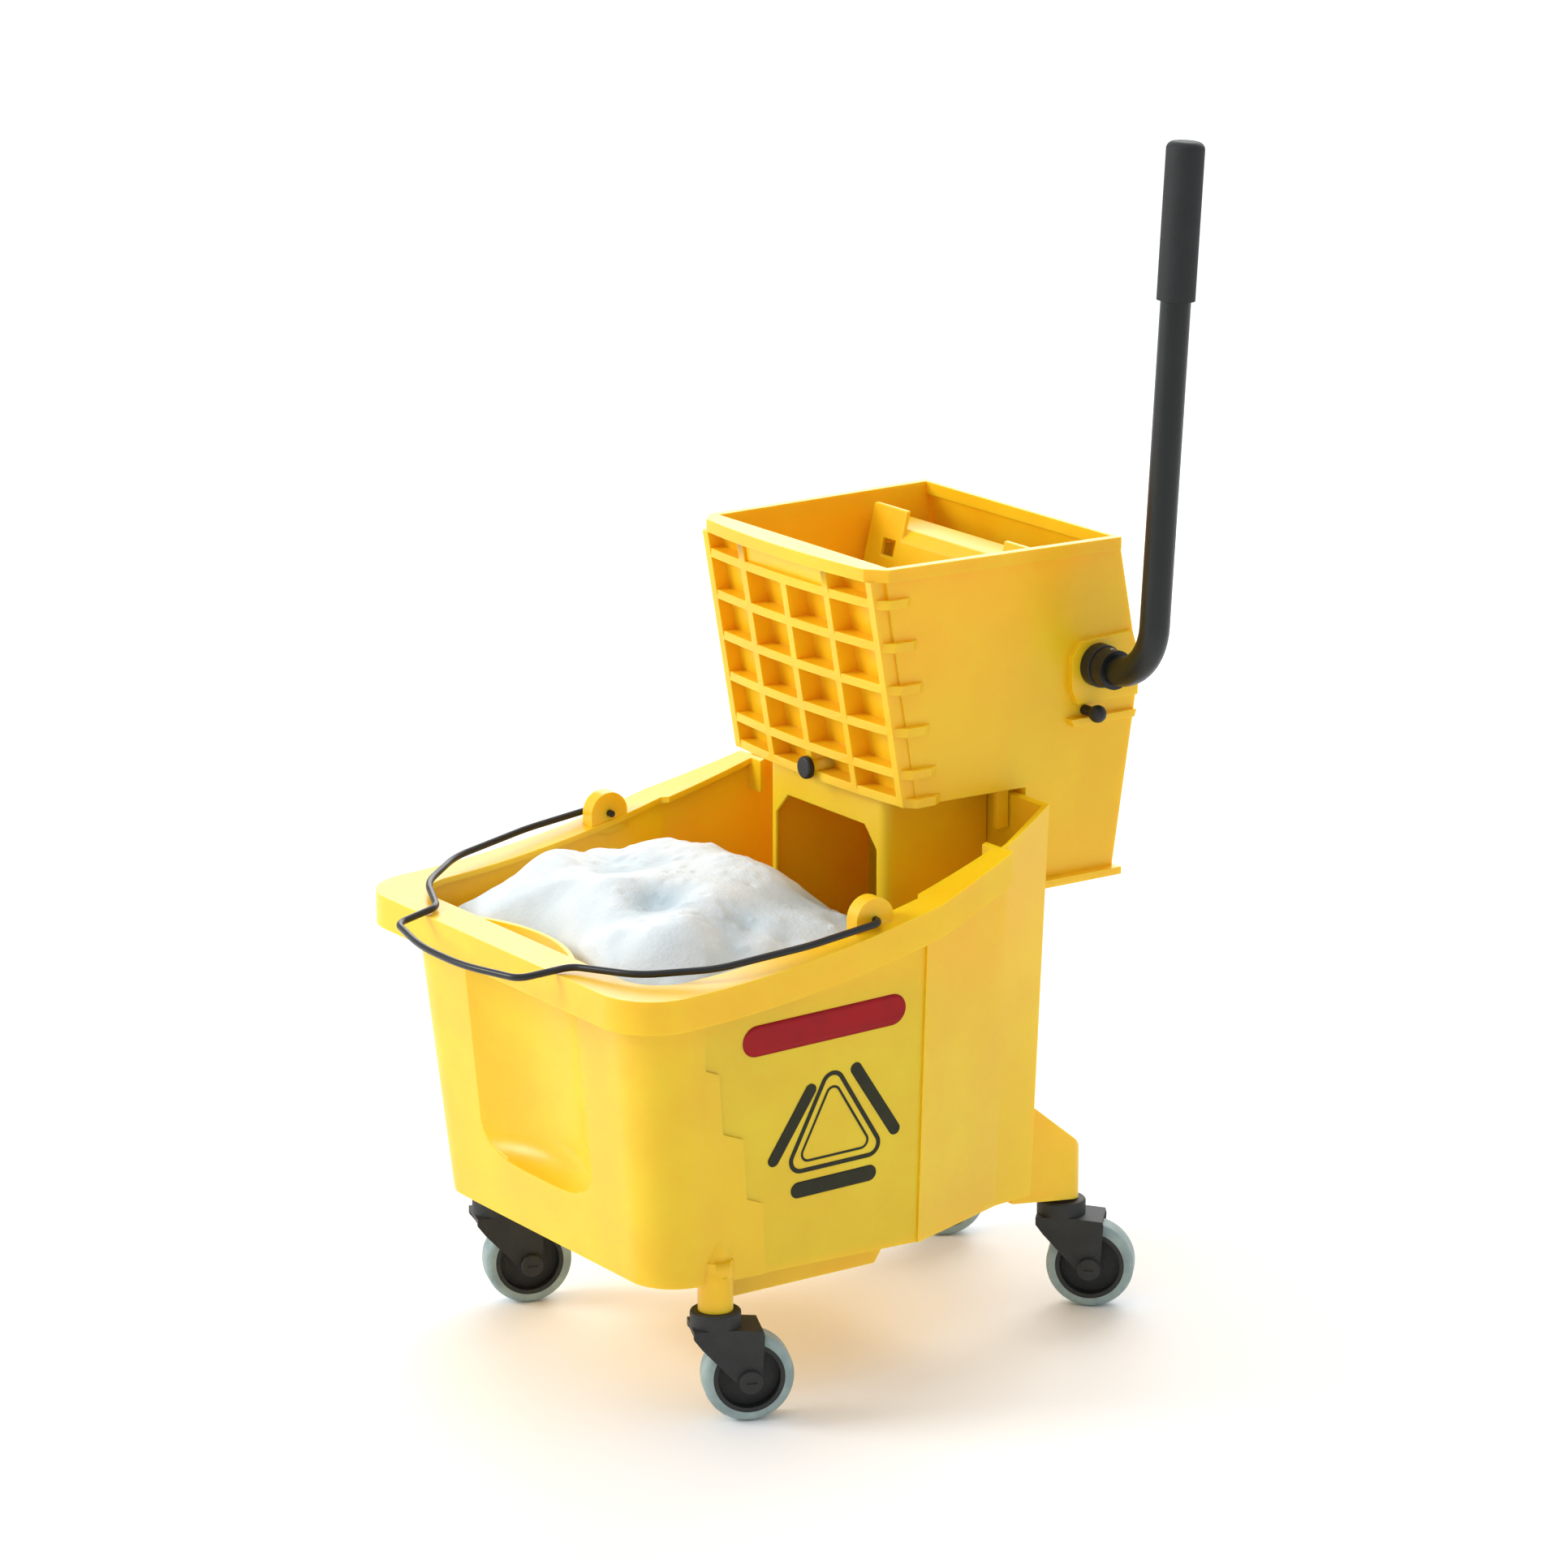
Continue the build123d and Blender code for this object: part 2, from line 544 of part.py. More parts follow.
def rack(x):
    """A toothed bar behind the press plate, teeth down on top of the pinion."""
    tooth = math.pi * GEAR_MODULE
    line = SHAFT_Z + PITCH_R
    y0, y1 = plate_face(564) + 4.2, SHAFT_Y + RACK_REAR
    points = [(y0, line + 14), (y0, line + 1.4 * GEAR_MODULE)]
    for k in range(-6, 5):
        gap_middle = SHAFT_Y + k * tooth
        if gap_middle - 0.5 * tooth < y0 + 1 or gap_middle + 0.5 * tooth > y1:
            continue
        for share, depth in ((-0.36, -0.8), (-0.17, 1.4), (0.17, 1.4), (0.36, -0.8)):
            points.append((gap_middle + share * tooth, line + depth * GEAR_MODULE))
    points += [(y1, line - 0.8 * GEAR_MODULE), (y1, line + 14)]
    return side_prism(points, x - GEAR_W / 2, x + GEAR_W / 2)


def press_plate():
    """The plate that squeezes the mop: a leaning face, side ears and a round-edged ledge."""
    foot, top = PLATE_FOOT, PLATE_LEDGE
    ledge_back = plate_face(top) + 36
    profile = [(plate_face(foot), foot), (plate_face(top - 8), top - 8), (plate_face(top) + 7, top),
               (ledge_back, top), (ledge_back, top - 4), (plate_face(top) + 8, top - 4),
               (plate_face(top - 10) + 4.1, top - 10), (plate_face(foot) + 4.1, foot)]
    plate = side_prism(profile, -PLATE_X, PLATE_X)
    ear = [(plate_face(590), 590), (plate_face(PLATE_TOP), PLATE_TOP),
           (plate_face(PLATE_TOP) + 4.1, PLATE_TOP),
           (plate_face(590) + 4.1, 590)]
    plate += both_sides(side_prism(ear, PLATE_X - EAR_WIDTH, PLATE_X))
    notch = block((PLATE_X - 36, PLATE_X - 20), (140, 200), (583, 596))
    plate -= both_sides(notch)
    rib = [(plate_face(foot + 4) + 4, foot + 4), (plate_face(590) + 4, 590), (plate_face(590) + 14, 590),
           (plate_face(foot + 4) + 10, foot + 4)]
    ribs = [side_prism(rib, x - 1.5, x + 1.5) for x in (-92, -50, 0, 50, 92)]
    return plate + ribs


def spring_rod():
    """The black rod across the housing that anchors the return springs, with ball ends."""
    rod = rod_x(ROD_R, -138, 138, ROD_Y, ROD_Z)
    ball = Pos(138, ROD_Y, ROD_Z) * Sphere(7)
    return rod + both_sides(ball)


def return_spring(x):
    """A coil between the press plate's back and the spring rod."""
    y0, y1 = plate_face(ROD_Z) + 12, ROD_Y - ROD_R - 1.5
    turns = 12
    helix = Helix(pitch=(y1 - y0) / turns, height=y1 - y0, radius=SPRING_R)
    start = Plane(origin=helix @ 0, z_dir=helix % 0)
    coil = sweep(start * Circle(SPRING_WIRE), path=helix)
    return Pos(x, y0, ROD_Z) * Rot(-90, 0, 0) * coil


def front_stud():
    """The round-headed stud low in the middle of the front."""
    y = front_face(STUD_Z)
    head = Pos(0, y - 10.8, STUD_Z) * Rot(90, 0, 0) * Cylinder(9, 5)
    head = fillet(head.edges().filter_by(GeomType.CIRCLE).sort_by(Axis.Y)[0], 2.2)
    shank = Pos(0, y + 4, STUD_Z) * Rot(90, 0, 0) * Cylinder(2.95, 25)
    return head + shank


def write(name, shape):
    """Move a piece to the footprint's middle and write it as one STEP file."""
    moved = Pos(*FOOTPRINT_SHIFT) * shape
    export_step(moved, f"parts/{name}.step")
    box = moved.bounding_box()
    print(f"{name:26s} volume {moved.volume:10.0f}  y {box.min.Y:8.2f} {box.max.Y:8.2f}"
          f"  x {box.min.X:8.2f} {box.max.X:8.2f}  z {box.min.Z:7.2f} {box.max.Z:7.2f}")


def main():
    os.makedirs("parts", exist_ok=True)
    write("bucket_shell", bucket_shell())
    write("splash_baffle", splash_baffle())
    write("bail_wire", bail_wire())
    for corner, (x, y, turn) in CASTERS.items():
        write(f"caster_stem_{corner}", placed(caster_stem(), x, y, turn))
        write(f"swivel_collar_{corner}", placed(swivel_collar(), x, y, turn))
        write(f"fork_{corner}", placed(fork(), x, y, turn))
        write(f"wheel_hub_{corner}", placed(wheel_hub(), x, y, turn))
        write(f"tyre_{corner}", placed(tyre(), x, y, turn))
        write(f"axle_{corner}", placed(axle(), x, y, turn))
        write(f"axle_caps_{corner}", placed(axle_caps(), x, y, turn))
    write("wringer_shell", wringer_shell())
    write("bushing_right", bushing_right())
    write("bushing_left", bushing_left())
    write("spring_rod", spring_rod())
    write("front_stud", front_stud())
    write("return_springs", return_spring(SPRING_X) + return_spring(-SPRING_X))
    write("lever_tube", lever_tube())
    write("lever_grip", grip())
    write("lever_collar", lever_collar())
    write("lever_pin", lever_pin())
    write("drive_shaft", drive_shaft())
    write("pinion_right", pinion(GEAR_X))
    write("pinion_left", pinion(-GEAR_X))
    write("press_plate", press_plate())
    write("rack_right", rack(GEAR_X))
    write("rack_left", rack(-GEAR_X))


main()
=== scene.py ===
"""A rolling mop bucket with a side-lever wringer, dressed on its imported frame."""

import json
import logging
import math
from dataclasses import dataclass, field
from enum import Enum

import bmesh
import bpy
import numpy as np
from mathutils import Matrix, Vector


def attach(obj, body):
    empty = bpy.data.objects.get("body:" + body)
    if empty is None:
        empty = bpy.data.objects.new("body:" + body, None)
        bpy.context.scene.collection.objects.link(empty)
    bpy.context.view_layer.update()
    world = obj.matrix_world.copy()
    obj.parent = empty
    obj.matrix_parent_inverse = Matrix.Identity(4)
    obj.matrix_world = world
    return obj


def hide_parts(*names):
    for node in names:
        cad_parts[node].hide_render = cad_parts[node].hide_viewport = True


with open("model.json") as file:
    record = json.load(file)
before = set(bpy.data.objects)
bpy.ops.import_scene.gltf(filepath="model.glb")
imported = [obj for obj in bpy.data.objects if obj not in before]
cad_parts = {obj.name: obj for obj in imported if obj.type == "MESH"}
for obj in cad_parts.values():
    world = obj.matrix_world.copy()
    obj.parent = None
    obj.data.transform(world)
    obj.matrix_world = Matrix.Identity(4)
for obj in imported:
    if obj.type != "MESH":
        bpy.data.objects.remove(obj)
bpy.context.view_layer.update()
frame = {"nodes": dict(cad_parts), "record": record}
LOG = logging.getLogger("mop_bucket")

# The bucket's own middle plane and swing point stand off the footprint's middle by this much.
SHIFT = np.array([-0.0034, 0.023125, 0.0])


def linear(code: str) -> tuple[float, float, float, float]:
    """Turns an sRGB hex colour to linear light.

    Args:
        code: Six hex digits, such as "F2C81C".

    Returns:
        Red, green, blue and an alpha of 1.
    """
    parts = [int(code[i : i + 2], 16) / 255 for i in (0, 2, 4)]
    bright = [c / 12.92 if c <= 0.04045 else ((c + 0.055) / 1.055) ** 2.4 for c in parts]
    return (bright[0], bright[1], bright[2], 1.0)


def add_node(
    tree: bpy.types.NodeTree, kind: str, settings: dict | None = None, links: dict | None = None
) -> bpy.types.Node:
    """Adds one shader node.

    Args:
        tree: The node tree it goes in.
        kind: The node's Blender type.
        settings: Attribute names, or input names with a leading ">", to their values.
        links: Input names or numbers to the output sockets that feed them.

    Returns:
        The new node.
    """
    node = tree.nodes.new(kind)
    for key, value in (settings or {}).items():
        if key.startswith(">"):
            node.inputs[key[1:]].default_value = value
        else:
            setattr(node, key, value)
    for key, socket in (links or {}).items():
        tree.links.new(socket, node.inputs[key])
    return node


@dataclass(frozen=True)
class Finish:
    """A moulded, coated or plated surface with mottling and a fine grain.

    The grain is in millimetres: the spacing of the bumps. Mottle is the size of the broad,
    faint patches of tone that a moulding or a handled coat has. Glow is how much light passes
    under the surface, and its radius how far each of red, green and blue goes, in metres.
    Where a colour is given for painted shade, the mesh's own point attribute mixes it in: a
    painted shade in folds, not a colour of the material.
    """

    name: str
    body: str
    shade: str
    roughness: tuple[float, float] = (0.35, 0.5)
    grain_mm: float = 1.5
    relief: float = 0.05
    mottle_mm: float = 60.0
    metallic: float = 0.0
    ior: float = 1.49
    glow: float = 0.0
    glow_radius: tuple[float, float, float] = (0.006, 0.003, 0.0005)
    # The colour of a painted shade laid into folds; empty for none.
    fold_shade: str = ""

    def build(self) -> bpy.types.Material:
        """Makes the material.

        Returns:
            A node material on Object coordinates.
        """
        material = bpy.data.materials.new(self.name)
        material.use_nodes = True
        tree = material.node_tree
        tree.nodes.clear()
        place = add_node(tree, "ShaderNodeTexCoord").outputs["Object"]
        patches = add_node(
            tree,
            "ShaderNodeTexNoise",
            {">Scale": 1000 / self.mottle_mm, ">Detail": 4.0},
            {"Vector": place},
        )
        grain = add_node(
            tree,
            "ShaderNodeTexNoise",
            {">Scale": 1000 / self.grain_mm, ">Detail": 3.0},
            {"Vector": place},
        )
        tone = add_node(tree, "ShaderNodeValToRGB", links={"Fac": patches.outputs["Fac"]})
        tone.color_ramp.elements[0].position = 0.35
        tone.color_ramp.elements[0].color = linear(self.shade)
        tone.color_ramp.elements[1].position = 0.65
        tone.color_ramp.elements[1].color = linear(self.body)
        colour = tone.outputs["Color"]
        # Painted shade: the fold colour is mixed in where the mesh's point attribute says a point
        # lies down in a fold.
        if self.fold_shade:
            deep = add_node(tree, "ShaderNodeAttribute", {"attribute_name": "fold_shade"})
            dip = add_node(
                tree,
                "ShaderNodeMix",
                {"data_type": "RGBA"},
                {0: deep.outputs["Fac"], 6: colour},
            )
            dip.inputs[7].default_value = linear(self.fold_shade)
            colour = dip.outputs[2]
        red_reach, green_reach, blue_reach = self.glow_radius
        gloss = add_node(
            tree,
            "ShaderNodeMapRange",
            {">To Min": self.roughness[0], ">To Max": self.roughness[1]},
            {"Value": patches.outputs["Fac"]},
        )
        bump = add_node(
            tree,
            "ShaderNodeBump",
            {">Strength": self.relief, ">Distance": self.grain_mm / 1000},
            {"Height": grain.outputs["Fac"]},
        )
        shader = add_node(
            tree,
            "ShaderNodeBsdfPrincipled",
            {
                ">Metallic": self.metallic,
                ">IOR": self.ior,
                ">Subsurface Weight": self.glow,
                ">Subsurface Radius": (1.0, green_reach / red_reach, blue_reach / red_reach),
                ">Subsurface Scale": red_reach,
            },
            {
                "Base Color": colour,
                "Roughness": gloss.outputs["Result"],
                "Normal": bump.outputs["Normal"],
            },
        )
        add_node(tree, "ShaderNodeOutputMaterial", links={"Surface": shader.outputs["BSDF"]})
        return material


class Surface(Enum):
    """The finishes on this object, each named for its real material."""

    # Injection-moulded polypropylene: waxy, lets some light through, so thin walls glow orange.
    POLYPROPYLENE = Finish(
        "moulded_polypropylene", "F8CA16", "F4C011", (0.3, 0.42), 1.2, 0.03, 70,
        glow=0.5, glow_radius=(0.011, 0.0045, 0.0004),
    )
    # Dip-coated steel wire: black, smooth, faintly glossy.
    COATED_WIRE = Finish("dip_coated_wire", "15171A", "0F1012", (0.3, 0.4), 1.0, 0.03, 30)
    # Powder-coated steel tube: a slight orange peel, drawn at 2 mm so that it shows.
    POWDER_COAT = Finish("powder_coated_tube", "101716", "0B1010", (0.32, 0.42), 2.0, 0.06, 40)
    # Moulded nitrile rubber sleeve: dull, with a fine pebble grain.
    NITRILE = Finish("pebbled_nitrile_rubber", "1E2223", "171A1B", (0.6, 0.72), 0.9, 0.35, 25)
    # Moulded nylon: dull black.
    NYLON = Finish("moulded_black_nylon", "17181A", "101113", (0.42, 0.55), 1.0, 0.08, 25)
    # Glass-filled nylon from a spark-eroded mould: charcoal and grainy.
    CASTER_NYLON = Finish("spark_textured_nylon", "282B2A", "1D201F", (0.55, 0.68), 0.8, 0.3, 20)
    # Thermoplastic rubber tread: pale grey-green, slightly scuffed.
    TREAD = Finish(
        "thermoplastic_rubber_tread", "9DB0AC", "86999A", (0.5, 0.65), 1.0, 0.1, 15,
        ior=1.52, glow=0.1,
    )
    # Natural nylon gears: off-white.
    GEAR_NYLON = Finish("natural_nylon", "DEDACB", "CFCBBA", (0.4, 0.5), 1.0, 0.04, 20, glow=0.15)
    # Bright zinc plate over steel.
    ZINC = Finish(
        "bright_zinc_plate", "C9CBCC", "B2B5B7", (0.25, 0.38), 0.6, 0.05, 12,
        metallic=1.0, ior=1.5,
    )
    # Soap suds: matt white wet foam of fine bubbles, drawn at 3 mm so that they show. Their folds
    # get a blue-grey painted shade.
    SUDS = Finish(
        "soap_suds", "E0E7EA", "D8E1E5", (0.5, 0.65), 3.0, 0.22, 28,
        ior=1.33, glow=0.25, glow_radius=(0.006, 0.0065, 0.007), fold_shade="A6BBC6",
    )
    # Screen-printed inks.
    RED_INK = Finish("red_screen_ink", "A30611", "94050F", (0.5, 0.6), 1.0, 0.02, 20, ior=1.33)
    BLACK_INK = Finish("black_screen_ink", "2C2C18", "242414", (0.5, 0.6), 1.0, 0.02, 20, ior=1.33)


SLOT_SURFACES = {
    "yellow_plastic": Surface.POLYPROPYLENE,
    "black_wire": Surface.COATED_WIRE,
    "black_tube": Surface.POWDER_COAT,
    "grip_rubber": Surface.NITRILE,
    "black_plastic": Surface.NYLON,
    "caster_plastic": Surface.CASTER_NYLON,
    "tread_rubber": Surface.TREAD,
    "gear_plastic": Surface.GEAR_NYLON,
    "plated_steel": Surface.ZINC,
}


@dataclass
class Palette:
    """The built materials, each made once."""

    made: dict[Surface, bpy.types.Material] = field(default_factory=dict)

    def get(self, surface: Surface) -> bpy.types.Material:
        """Gives a finish's material.

        Args:
            surface: The finish.

        Returns:
            Its material.
        """
        if surface not in self.made:
            self.made[surface] = surface.value.build()
        return self.made[surface]


def grid_faces(rows: int, columns: int, wrap: bool = False) -> np.ndarray:
    """Numbers the quads of a grid of points, row by row.

    Args:
        rows: Points along the first way.
        columns: Points along the second way.
        wrap: Whether the last column joins the first.

    Returns:
        An array of four point numbers for each quad.
    """
    r = np.arange(rows - 1)[:, None]
    c = np.arange(columns if wrap else columns - 1)[None, :]
    n = (c + 1) % columns
    corners = [r * columns + c, r * columns + n, (r + 1) * columns + n, (r + 1) * columns + c]
    return np.stack([np.broadcast_to(k, (rows - 1, c.size)).ravel() for k in corners], axis=1)


def make_piece(
    name: str, points: np.ndarray, faces: list, material: bpy.types.Material
) -> bpy.types.Object:
    """Makes a mesh object at the origin from points in the row frame.

    Args:
        name: The piece's name.
        points: The points in metres, one a row.
        faces: Point numbers for each face.
        material: Its material.

    Returns:
        The linked object, smooth shaded.
    """
    mesh = bpy.data.meshes.new(name)
    mesh.from_pydata(points, [], faces)
    mesh.polygons.foreach_set("use_smooth", np.ones(len(mesh.polygons), bool))
    mesh.materials.append(material)
    piece = bpy.data.objects.new(name, mesh)
    bpy.context.scene.collection.objects.link(piece)
    return piece


@dataclass
class Mouldings:
    """The large plastic mouldings, whose edges are rounded as a mould leaves them."""

    palette: Palette
    edge: dict[str, float] = field(
        default_factory=lambda: {
            "bucket_shell": 0.0016,
            "splash_baffle": 0.001,
            "wringer_shell": 0.0014,
            "press_plate": 0.0012,
        }
    )
    segments: int = 2
    sharp: float = math.radians(24)
    merge: float = 0.00001
    flat: float = math.radians(0.6)
    room: float = 2.2

    def roomy_edges(self, mesh: bpy.types.Mesh, radius: float) -> np.ndarray:
        """Picks the edges that have room for a round.

        An edge is picked when its two faces turn by more than the sharp angle, and when the
        shortest edge at each of its ends is longer than the round's size times the room it needs.

        Args:
            mesh: The moulding's mesh.
            radius: The round's size in metres.

        Returns:
            1 for each edge to round and 0 for the others.
        """
        ends = np.empty(len(mesh.edges) * 2, np.int32)
        mesh.edges.foreach_get("vertices", ends)
        ends = ends.reshape(-1, 2)
        place = np.empty(len(mesh.vertices) * 3, np.float32)
        mesh.vertices.foreach_get("co", place)
        place = place.reshape(-1, 3)
        length = np.linalg.norm(place[ends[:, 0]] - place[ends[:, 1]], axis=1)
        shortest = np.full(len(place), np.inf)
        np.minimum.at(shortest, ends.ravel(), np.repeat(length, 2))
        facing = np.empty(len(mesh.polygons) * 3, np.float32)
        mesh.polygons.foreach_get("normal", facing)
        facing = facing.reshape(-1, 3)
        sizes = np.empty(len(mesh.polygons), np.int32)
        mesh.polygons.foreach_get("loop_total", sizes)
        loop_edge = np.empty(len(mesh.loops), np.int32)
        mesh.loops.foreach_get("edge_index", loop_edge)
        owner = np.repeat(np.arange(len(sizes)), sizes)
        order = np.argsort(loop_edge, kind="stable")
        count = np.bincount(loop_edge, minlength=len(ends))
        first = np.concatenate([[0], np.cumsum(count)[:-1]])
        paired = count == 2
        one, two = owner[order[first[paired]]], owner[order[first[paired] + 1]]
        cosine = np.ones(len(ends))
        cosine[paired] = (facing[one] * facing[two]).sum(axis=1)
        room = shortest[ends].min(axis=1) > self.room * radius
        return ((cosine < math.cos(self.sharp)) & room).astype(np.float32)

    def soften(self, node: str, radius: float) -> bpy.types.Object:
        """Makes a copy of a moulding with small rounds along its edges.

        Args:
            node: The CAD node.
            radius: The round's size in metres.

        Returns:
            The copy, which stands for the node.
        """
        source = frame["nodes"][node]
        mesh = source.data.copy()
        mesh.name = f"{node}_moulded"
        work = bmesh.new()
        work.from_mesh(mesh)
        bmesh.ops.remove_doubles(work, verts=work.verts, dist=self.merge)
        bmesh.ops.dissolve_limit(
            work, angle_limit=self.flat, verts=work.verts, edges=work.edges
        )
        work.to_mesh(mesh)
        work.free()
        mesh.polygons.foreach_set("use_smooth", np.ones(len(mesh.polygons), bool))
        mesh.set_sharp_from_angle(angle=self.sharp)
        picked = self.roomy_edges(mesh, radius)
        mesh.attributes.new("bevel_weight_edge", "FLOAT", "EDGE").data.foreach_set("value", picked)
        LOG.info("%s: %d of %d edges rounded", node, int(picked.sum()), len(picked))
        mesh.materials.clear()
        mesh.materials.append(self.palette.get(Surface.POLYPROPYLENE))
        piece = bpy.data.objects.new(mesh.name, mesh)
        bpy.context.scene.collection.objects.link(piece)
        bevel = piece.modifiers.new("moulded_edges", "BEVEL")
        bevel.width = radius
        bevel.segments = self.segments
        bevel.limit_method = "WEIGHT"
        bevel.use_clamp_overlap = True
        bevel.harden_normals = True
        even = piece.modifiers.new("even_shading", "WEIGHTED_NORMAL")
        even.keep_sharp = True
        return piece

    def build(self) -> list[bpy.types.Object]:
        """Softens every moulding and rides each on its node's body.

        Returns:
            The new pieces.
        """
        pieces = []
        bodies = frame["record"]["behaviour"]["bodies"]
        for node, radius in self.edge.items():
            piece = self.soften(node, radius)
            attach(piece, next(b for b, members in bodies.items() if node in members))
            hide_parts(node)
            pieces.append(piece)
        return pieces


@dataclass
class Suds:
    """The heap of suds that stands in the front of the bucket."""

    palette: Palette
    half_width: float = 0.171
    front: float = -0.231
    back: float = 0.040
    waterline: float = 0.322
    edge_height: float = 0.333
    heap: float = 0.05
    scallop: float = 0.021
    scallop_half: float = 0.088
    swells: int = 64
    folds: int = 150
    froth: int = 900
    pit: tuple[float, float] = (0.035, -0.135)
    pit_radius: float = 0.024
    pit_depth: float = 0.013
    # How strongly the painted shade shows in the deepest folds.
    blue: float = 0.75
    rings: int = 150
    spokes: int = 300

    def outline(self, angle: np.ndarray) -> tuple[np.ndarray, np.ndarray]:
        """Gives the heap's plan: a rounded oblong, |x/a|^5 + |y/b|^5 = 1.

        It is made ragged by two sine waves round it, and its front edge bows in as a
        parabola, round the scallop in the bucket's front wall.

        Args:
            angle: Angles round the middle.

        Returns:
            x and y of the edge, about the middle of the heap.
        """
        half_length = (self.back - self.front) / 2
        c, s = np.cos(angle), np.sin(angle)
        reach = (np.abs(c) ** 5 + np.abs(s) ** 5) ** (-1 / 5)
        ragged = 1 - 0.018 * (1 + np.sin(7 * angle + 0.6)) - 0.012 * (1 + np.sin(17 * angle + 2.1))
        x, y = self.half_width * c * reach * ragged, half_length * s * reach * ragged
        inward = self.scallop * np.clip(1 - (x / self.scallop_half) ** 2, 0, 1)
        return x, y + np.where(s < 0, inward, 0)

    def lumps(
        self,
        x: np.ndarray,
        y: np.ndarray,
        seed: int,
        count: int,
        radii: tuple[float, float],
        rise: tuple[float, float],
    ) -> np.ndarray:
        """Sums many soft swellings, each rising by its height times e to the power -d^2/r^2.

        Args:
            x: Points across the bucket.
            y: Points along it.
            seed: Picks the scatter, which is the same every time.
            count: How many swellings.
            radii: The smallest and largest radius r in metres.
            rise: The lowest and highest height in metres; below 0 it is a dent.

        Returns:
            The summed height at each point.
        """
        random = np.random.default_rng(seed)
        corner, opposite = (-self.half_width, self.front), (self.half_width, self.back)
        middles = random.uniform(corner, opposite, (count, 2))
        radius = random.uniform(*radii, count)
        top = random.uniform(*rise, count)
        far = (x[..., None] - middles[:, 0]) ** 2 + (y[..., None] - middles[:, 1]) ** 2
        return (top * np.exp(-far / radius**2)).sum(axis=-1)

    def swell(self, x: np.ndarray, y: np.ndarray) -> np.ndarray:
        """Gives the broad swells and folds of the heap, with one deeper pit near its front.

        Args:
            x: Points across the bucket.
            y: Points along it.

        Returns:
            Heights above or below the mound.
        """
        broad = self.lumps(x, y, 5, self.swells, (0.016, 0.034), (-0.0075, 0.0085))
        folds = self.lumps(x, y, 8, self.folds, (0.008, 0.018), (-0.0026, 0.003))
        middle_x, middle_y = self.pit
        far = (x - middle_x) ** 2 + (y - middle_y) ** 2
        return broad + folds - self.pit_depth * np.exp(-far / self.pit_radius**2)

    def height(self, x: np.ndarray, y: np.ndarray, share: np.ndarray) -> np.ndarray:
        """Gives the heap's height: a low mound with swells, folds and a fine froth on it.

        The mound falls as 1 less the share cubed. The froth is the sum of many bumps of
        2.5 to 5 mm. All of them fade out over the last tenth of the way to the edge.

        Args:
            x: Points across the bucket.
            y: Points along it.
            share: How far out each point is, 0 in the middle and 1 at the edge.

        Returns:
            Heights above the floor.
        """
        froth = self.lumps(x, y, 21, self.froth, (0.0025, 0.005), (-0.0009, 0.0012))
        fade = np.clip((1 - share) / 0.1, 0, 1)
        return self.edge_height + self.heap * (1 - share**3) + (self.swell(x, y) + froth) * fade

    def fold_shade_share(self, x: np.ndarray, y: np.ndarray) -> np.ndarray:
        """Gives how much painted shade each point gets: 0 on a swell and 1 well down in a fold.

        Args:
            x: Points across the bucket.
            y: Points along it.

        Returns:
            A number from 0 to 1 for each point.
        """
        return np.clip((0.002 - self.swell(x, y)) / 0.012, 0, 1) ** 1.3

    def build(self) -> bpy.types.Object:
        """Makes the closed heap: a domed top, a short side and a flat underside.

        Returns:
            The piece, riding on the bucket.
        """
        angle = np.linspace(0, 2 * math.pi, self.spokes, endpoint=False)
        share = np.linspace(0, 1, self.rings)[1:, None]
        edge_x, edge_y = self.outline(angle)
        middle_y = (self.front + self.back) / 2
        x, y = share * edge_x, middle_y + share * edge_y
        out = np.broadcast_to(share, x.shape)
        heights = self.height(x, y, out)
        top = np.stack([x, y, heights], axis=-1).reshape(-1, 3)
        rim = np.stack([edge_x, middle_y + edge_y, np.full_like(edge_x, self.waterline)], axis=-1)
        centre = self.height(np.zeros(1), np.full(1, middle_y), np.zeros(1))[0]
        peak = np.array([[0, middle_y, centre]])
        foot = np.array([[0, middle_y, self.waterline]])
        points = np.concatenate([top, rim, peak, foot]) + SHIFT
        faces = grid_faces(self.rings, self.spokes, wrap=True)[:, ::-1]
        here = np.arange(self.spokes)
        after = (here + 1) % self.spokes
        last = (self.rings - 1) * self.spokes
        crown = np.stack([np.full_like(here, len(points) - 2), here, after], axis=1)
        under = np.stack([np.full_like(here, len(points) - 1), last + after, last + here], axis=1)
        piece = make_piece(
            "soap_suds",
            points,
            [*faces.tolist(), *crown.tolist(), *under.tolist()],
            self.palette.get(Surface.SUDS),
        )
        # Painted shade: each top point gets a share of the blue-grey fold shade, by how far down
        # in a fold it lies.
        fold_shade_amount = np.zeros(len(points), np.float32)
        fold_shade_amount[: top.shape[0]] = self.fold_shade_share(x, y).ravel() * self.blue
        piece.data.attributes.new("fold_shade", "FLOAT", "POINT").data.foreach_set("value", fold_shade_amount)
        work = bmesh.new()
        work.from_mesh(piece.data)
        bmesh.ops.recalc_face_normals(work, faces=work.faces)
        work.to_mesh(piece.data)
        work.free()
        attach(piece, "bucket")
        return piece


